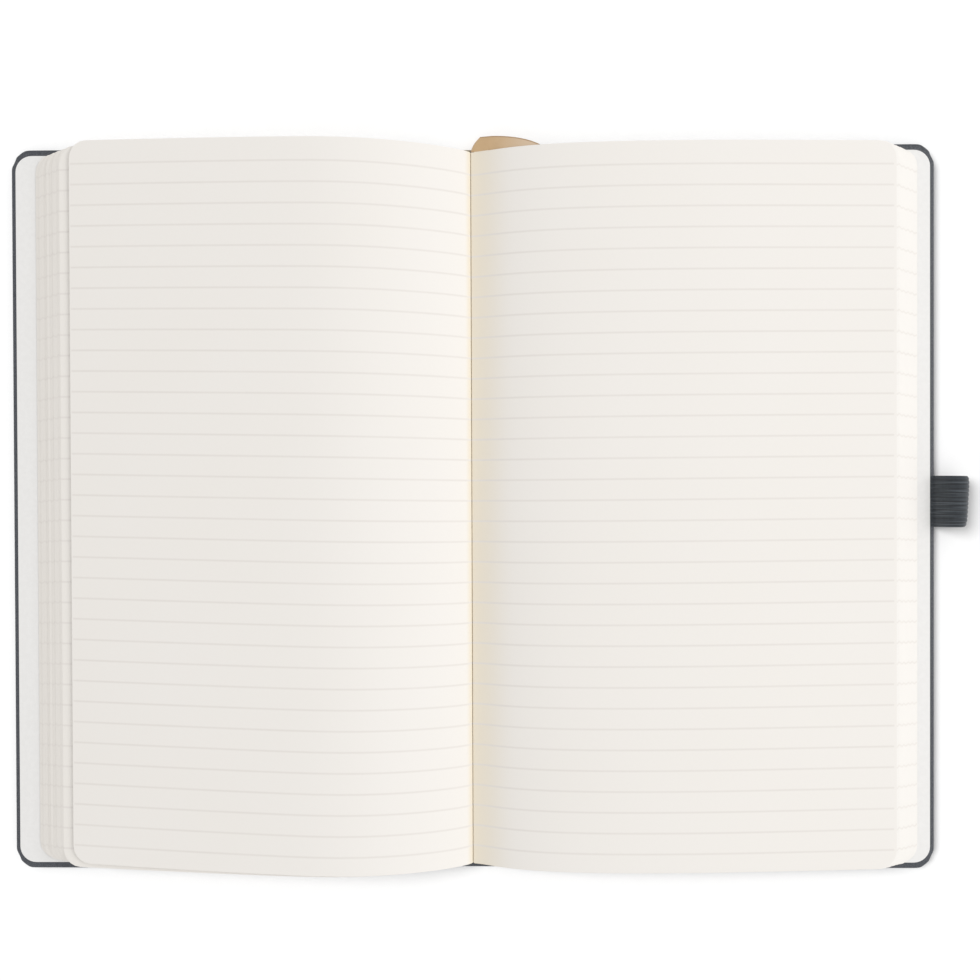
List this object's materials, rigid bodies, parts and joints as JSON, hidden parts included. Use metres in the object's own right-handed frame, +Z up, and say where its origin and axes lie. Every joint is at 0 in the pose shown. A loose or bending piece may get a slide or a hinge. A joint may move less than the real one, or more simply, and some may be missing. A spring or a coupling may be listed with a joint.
{
  "type": "open hardcover ruled notebook",
  "caption": "Hardcover notebook lying open: ruled cream leaves arching from the gutter, slate leatherette covers that fold back, ribbon marker and elastic pen loop.",
  "frame": {"origin": "on the surface that the notebook lies on, under the middle of the spine", "axes": "+X across the opening towards the back cover with the pen loop, +Y towards the head of the book, +Z up"},
  "size_m": [0.2772, 0.2128, 0.0158],
  "materials": {
    "leatherette": "dark slate grained leatherette, satin",
    "greyboard": "raw grey bookbinding board, matt",
    "endpaper": "smooth off-white endpaper, matt",
    "card": "thin spine card, matt",
    "gauze": "starched cotton gauze, matt",
    "ruled_paper": "cream writing paper with pale grey-brown ruling, matt",
    "satin_ribbon": "tan woven satin, soft sheen",
    "elastic": "ribbed slate woven elastic, matt"
  },
  "bodies": {
    "root": {"spine_strip": "card", "spine_skin": "leatherette", "spine_lining": "gauze", "text_block": "ruled_paper", "ribbon_marker": "satin_ribbon"},
    "front_cover": {"front_board": "greyboard", "front_cover_skin": "leatherette", "front_pastedown": "endpaper"},
    "back_cover": {"back_board": "greyboard", "back_cover_skin": "leatherette", "back_pastedown": "endpaper", "pen_loop": "elastic"}
  },
  "joints": [
    {"name": "front_cover_hinge", "type": "hinge", "parent": "root", "child": "front_cover", "pos_m": [-0.01, 0, 0.001], "axis": [0, -1, 0], "range_deg": [0, 90]},
    {"name": "back_cover_hinge", "type": "hinge", "parent": "root", "child": "back_cover", "pos_m": [0.01, 0, 0.001], "axis": [0, 1, 0], "range_deg": [0, 90]}
  ]
}
